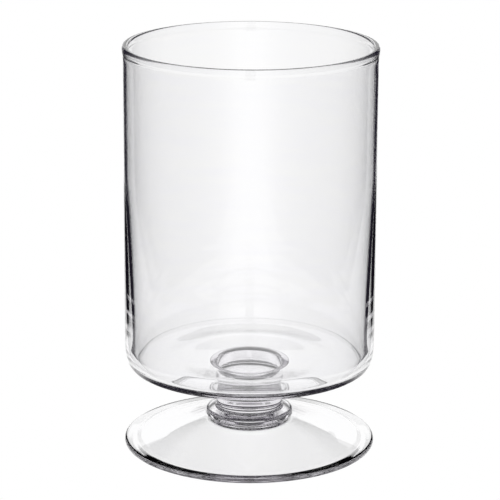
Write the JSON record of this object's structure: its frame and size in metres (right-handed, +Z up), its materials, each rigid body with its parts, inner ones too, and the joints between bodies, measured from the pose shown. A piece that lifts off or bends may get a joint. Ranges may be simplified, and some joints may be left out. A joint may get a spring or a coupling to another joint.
{
  "type": "footed glass cylinder vase",
  "caption": "Clear glass cylinder vase with a fire-polished rim, standing on a short stem with a ring and a wide, shallow round foot.",
  "frame": {"origin": "centre of the foot's resting ring, on the plane the vase stands on", "axes": "+Z up along the vase's axis of turning, out of its mouth; +X and +Y across it, alike in every direction"},
  "size_m": [0.1236, 0.1236, 0.2],
  "materials": {
    "clear_glass": "fire-polished"
  },
  "bodies": {
    "root": {"bowl": "clear_glass", "stem": "clear_glass", "ring": "clear_glass", "foot": "clear_glass"}
  },
  "joints": []
}
